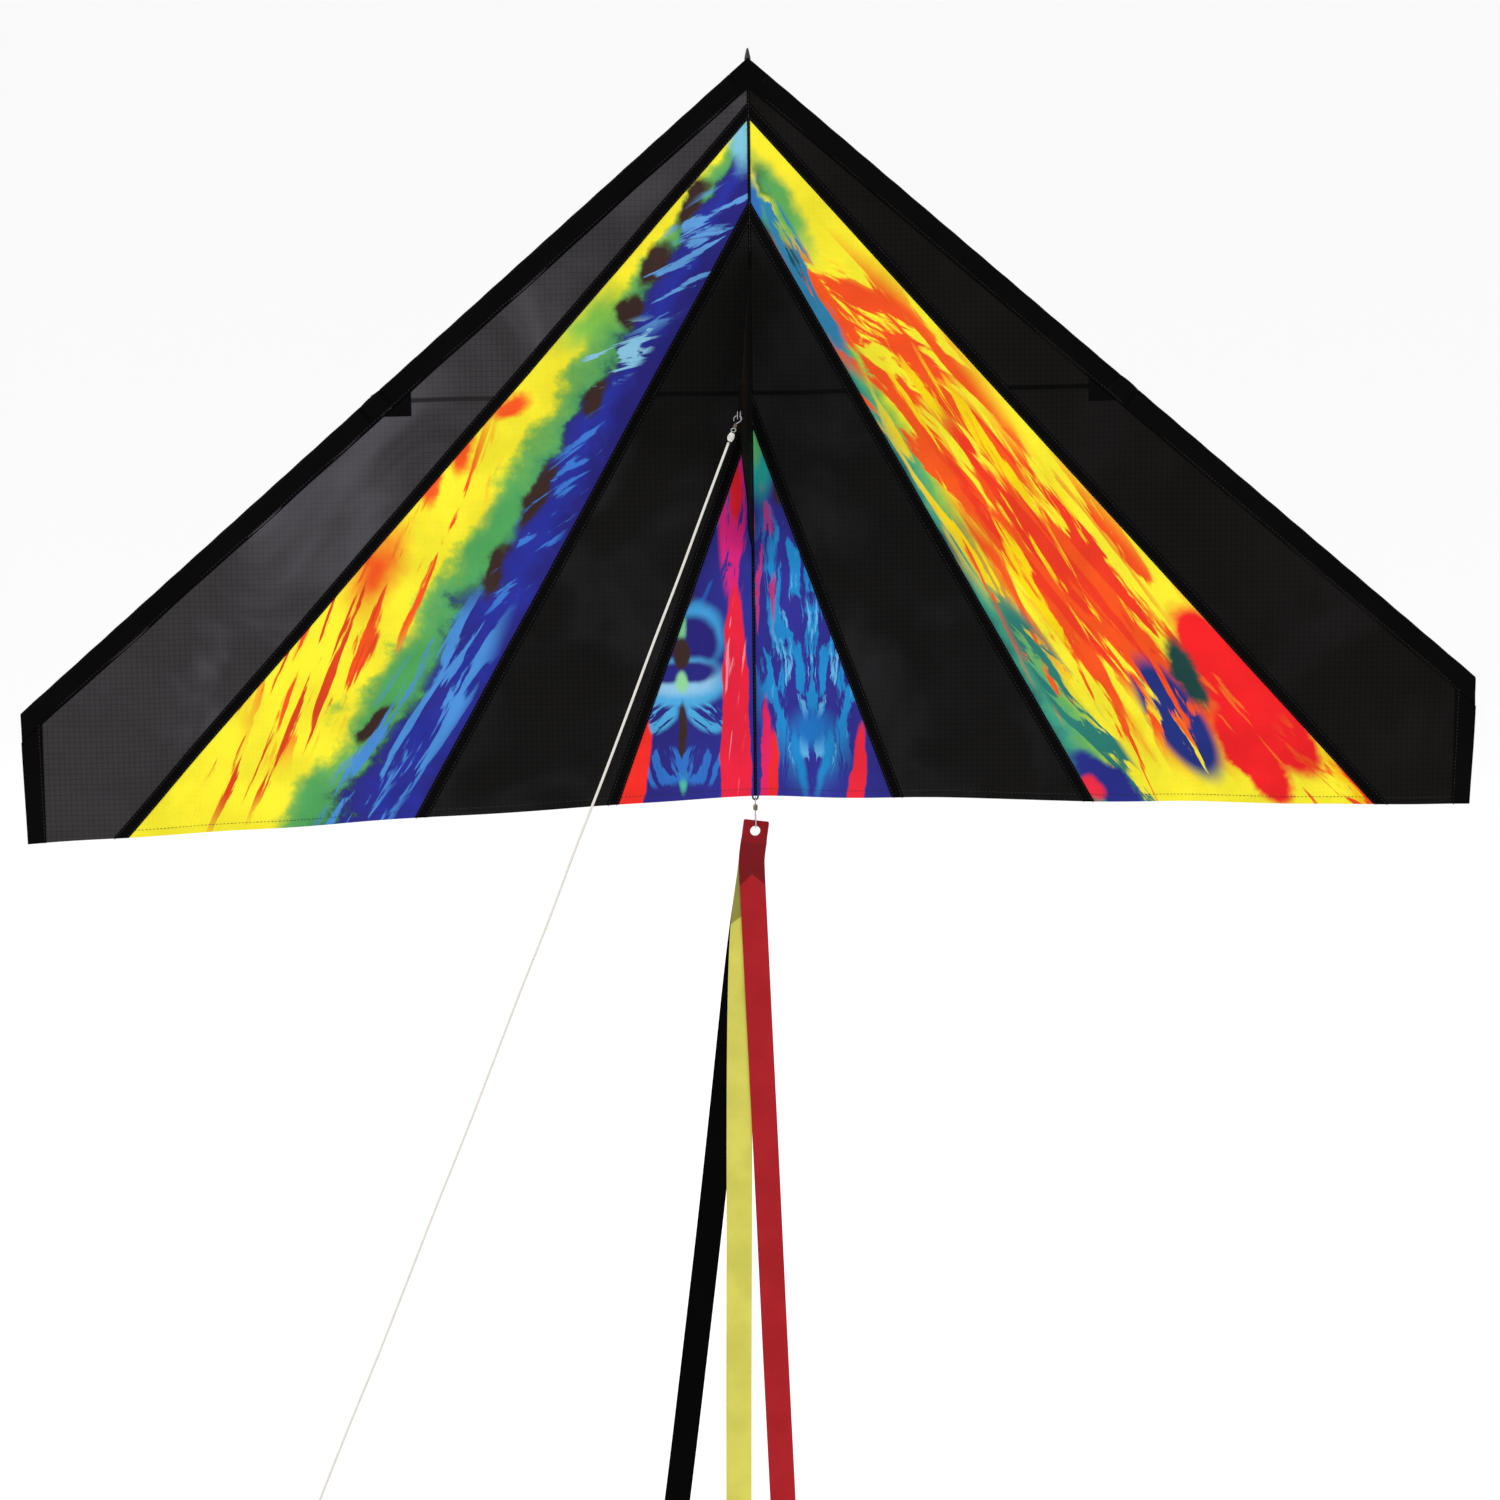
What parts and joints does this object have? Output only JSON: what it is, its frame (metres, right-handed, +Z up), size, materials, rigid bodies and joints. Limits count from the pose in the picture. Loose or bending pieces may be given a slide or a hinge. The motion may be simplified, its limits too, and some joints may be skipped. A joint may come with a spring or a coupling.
{
  "type": "delta kite",
  "caption": "Single-line delta kite with a panelled black and printed sail, triangular keel, swivelled flying line and three ribbon tails.",
  "frame": {"origin": "the nose, where the two leading edges meet on the sail's face", "axes": "+Z up the spine to the nose, +X across the span, +Y towards the back of the sail, so the keel points along -Y"},
  "size_m": [1.4236, 0.9598, 1.5435],
  "materials": {
    "sail_black": "black ripstop",
    "sail_print": "printed sailcloth, warm colours",
    "sail_print_cool": "printed sailcloth, indigo",
    "tape_black": "black tape and doubled cloth",
    "rod": "black fibreglass rod",
    "moulding": "black moulded vinyl",
    "steel": "bright wire",
    "barrel": "dark barrel",
    "braid": "white braided line",
    "tab_red": "folded dark red cloth",
    "ribbon_red": "red nylon ribbon",
    "ribbon_yellow": "yellow nylon ribbon",
    "ribbon_black": "black nylon ribbon"
  },
  "bodies": {
    "spine": {"spine_rod": "rod", "nose_cap": "moulding", "spine_foot_cap": "moulding", "spine_pocket": "tape_black", "nose_patch": "tape_black", "spine_strip": "sail_print_cool", "tail_loop": "tape_black"},
    "left_wing": {"left_leading_rod": "rod", "left_tip_cap": "moulding", "left_leading_sleeve": "tape_black", "left_spreader_clip": "moulding", "left_outer_panel": "sail_black", "left_print_panel": "sail_print", "left_inner_panel": "sail_black", "left_centre_panel": "sail_print_cool", "left_outer_seam_tape": "tape_black", "left_inner_seam_tape": "tape_black", "left_centre_seam_tape": "tape_black", "left_tip_hem": "tape_black", "left_trailing_hem": "tape_black", "left_connector_patch": "tape_black"},
    "right_wing": {"right_leading_rod": "rod", "right_tip_cap": "moulding", "right_leading_sleeve": "tape_black", "right_spreader_clip": "moulding", "right_outer_panel": "sail_black", "right_print_panel": "sail_print", "right_inner_panel": "sail_black", "right_centre_panel": "sail_print_cool", "right_outer_seam_tape": "tape_black", "right_inner_seam_tape": "tape_black", "right_centre_seam_tape": "tape_black", "right_tip_hem": "tape_black", "right_trailing_hem": "tape_black", "right_connector_patch": "tape_black"},
    "spreader": {"spreader_rod": "rod", "left_spreader_cap": "moulding", "right_spreader_cap": "moulding"},
    "keel": {"keel_panel": "sail_black", "keel_front_binding": "tape_black", "keel_rear_binding": "tape_black", "keel_tip_patch": "tape_black", "tow_eyelet": "steel"},
    "tow_link": {"tow_snap": "steel", "tow_barrel": "barrel"},
    "line": {"tow_eye": "steel", "line_knot": "braid", "flying_line": "braid", "line_end_knot": "braid"},
    "tail_link": {"tail_eye": "steel", "tail_barrel": "barrel"},
    "tail_hook": {"tail_snap": "steel"},
    "tail": {"tail_tab": "tab_red", "ribbon_red": "ribbon_red", "ribbon_yellow": "ribbon_yellow", "ribbon_black": "ribbon_black"}
  },
  "joints": [
    {"name": "left_wing_fold", "type": "hinge", "parent": "spine", "child": "left_wing", "pos_m": [-0.0042, 0.0004, -0.36], "axis": [0, 0, -1], "range_deg": [0, 80]},
    {"name": "right_wing_fold", "type": "hinge", "parent": "spine", "child": "right_wing", "pos_m": [0.0042, 0.0004, -0.36], "axis": [0, 0, 1], "range_deg": [0, 80]},
    {"name": "spreader_lift", "type": "slide", "parent": "spine", "child": "spreader", "axis": [0, 1, 0], "range_m": [0, 0.6]},
    {"name": "keel_swing", "type": "hinge", "parent": "spine", "child": "keel", "pos_m": [0, -0.0016, -0.322], "axis": [0, 0, 1], "range_deg": [-56, 80]},
    {"name": "tow_tilt", "type": "hinge", "parent": "keel", "child": "tow_link", "pos_m": [-0.02282, -0.14472, -0.32239], "axis": [-0.9877, 0.1564, 0], "range_deg": [-30, 100]},
    {"name": "tow_spin", "type": "hinge", "parent": "tow_link", "child": "line", "pos_m": [-0.02282, -0.14472, -0.32239], "axis": [-0.3527, -0.6643, -0.659], "continuous": true},
    {"name": "tail_sway", "type": "hinge", "parent": "spine", "child": "tail_link", "pos_m": [0, 0.0017, -0.7228], "axis": [0, 1, 0], "range_deg": [-40, 40]},
    {"name": "tail_spin", "type": "hinge", "parent": "tail_link", "child": "tail_hook", "pos_m": [0, 0.0017, -0.733], "axis": [0, 0, 1], "continuous": true},
    {"name": "tab_swing", "type": "hinge", "parent": "tail_hook", "child": "tail", "pos_m": [0, 0.0017, -0.753], "axis": [0, 1, 0], "range_deg": [-40, 40]}
  ],
  "couplings": [
    {"joint": "right_wing_fold", "follows": "left_wing_fold", "ratio": 1},
    {"joint": "spreader_lift", "follows": "left_wing_fold", "m_per_rad": 0.42}
  ]
}
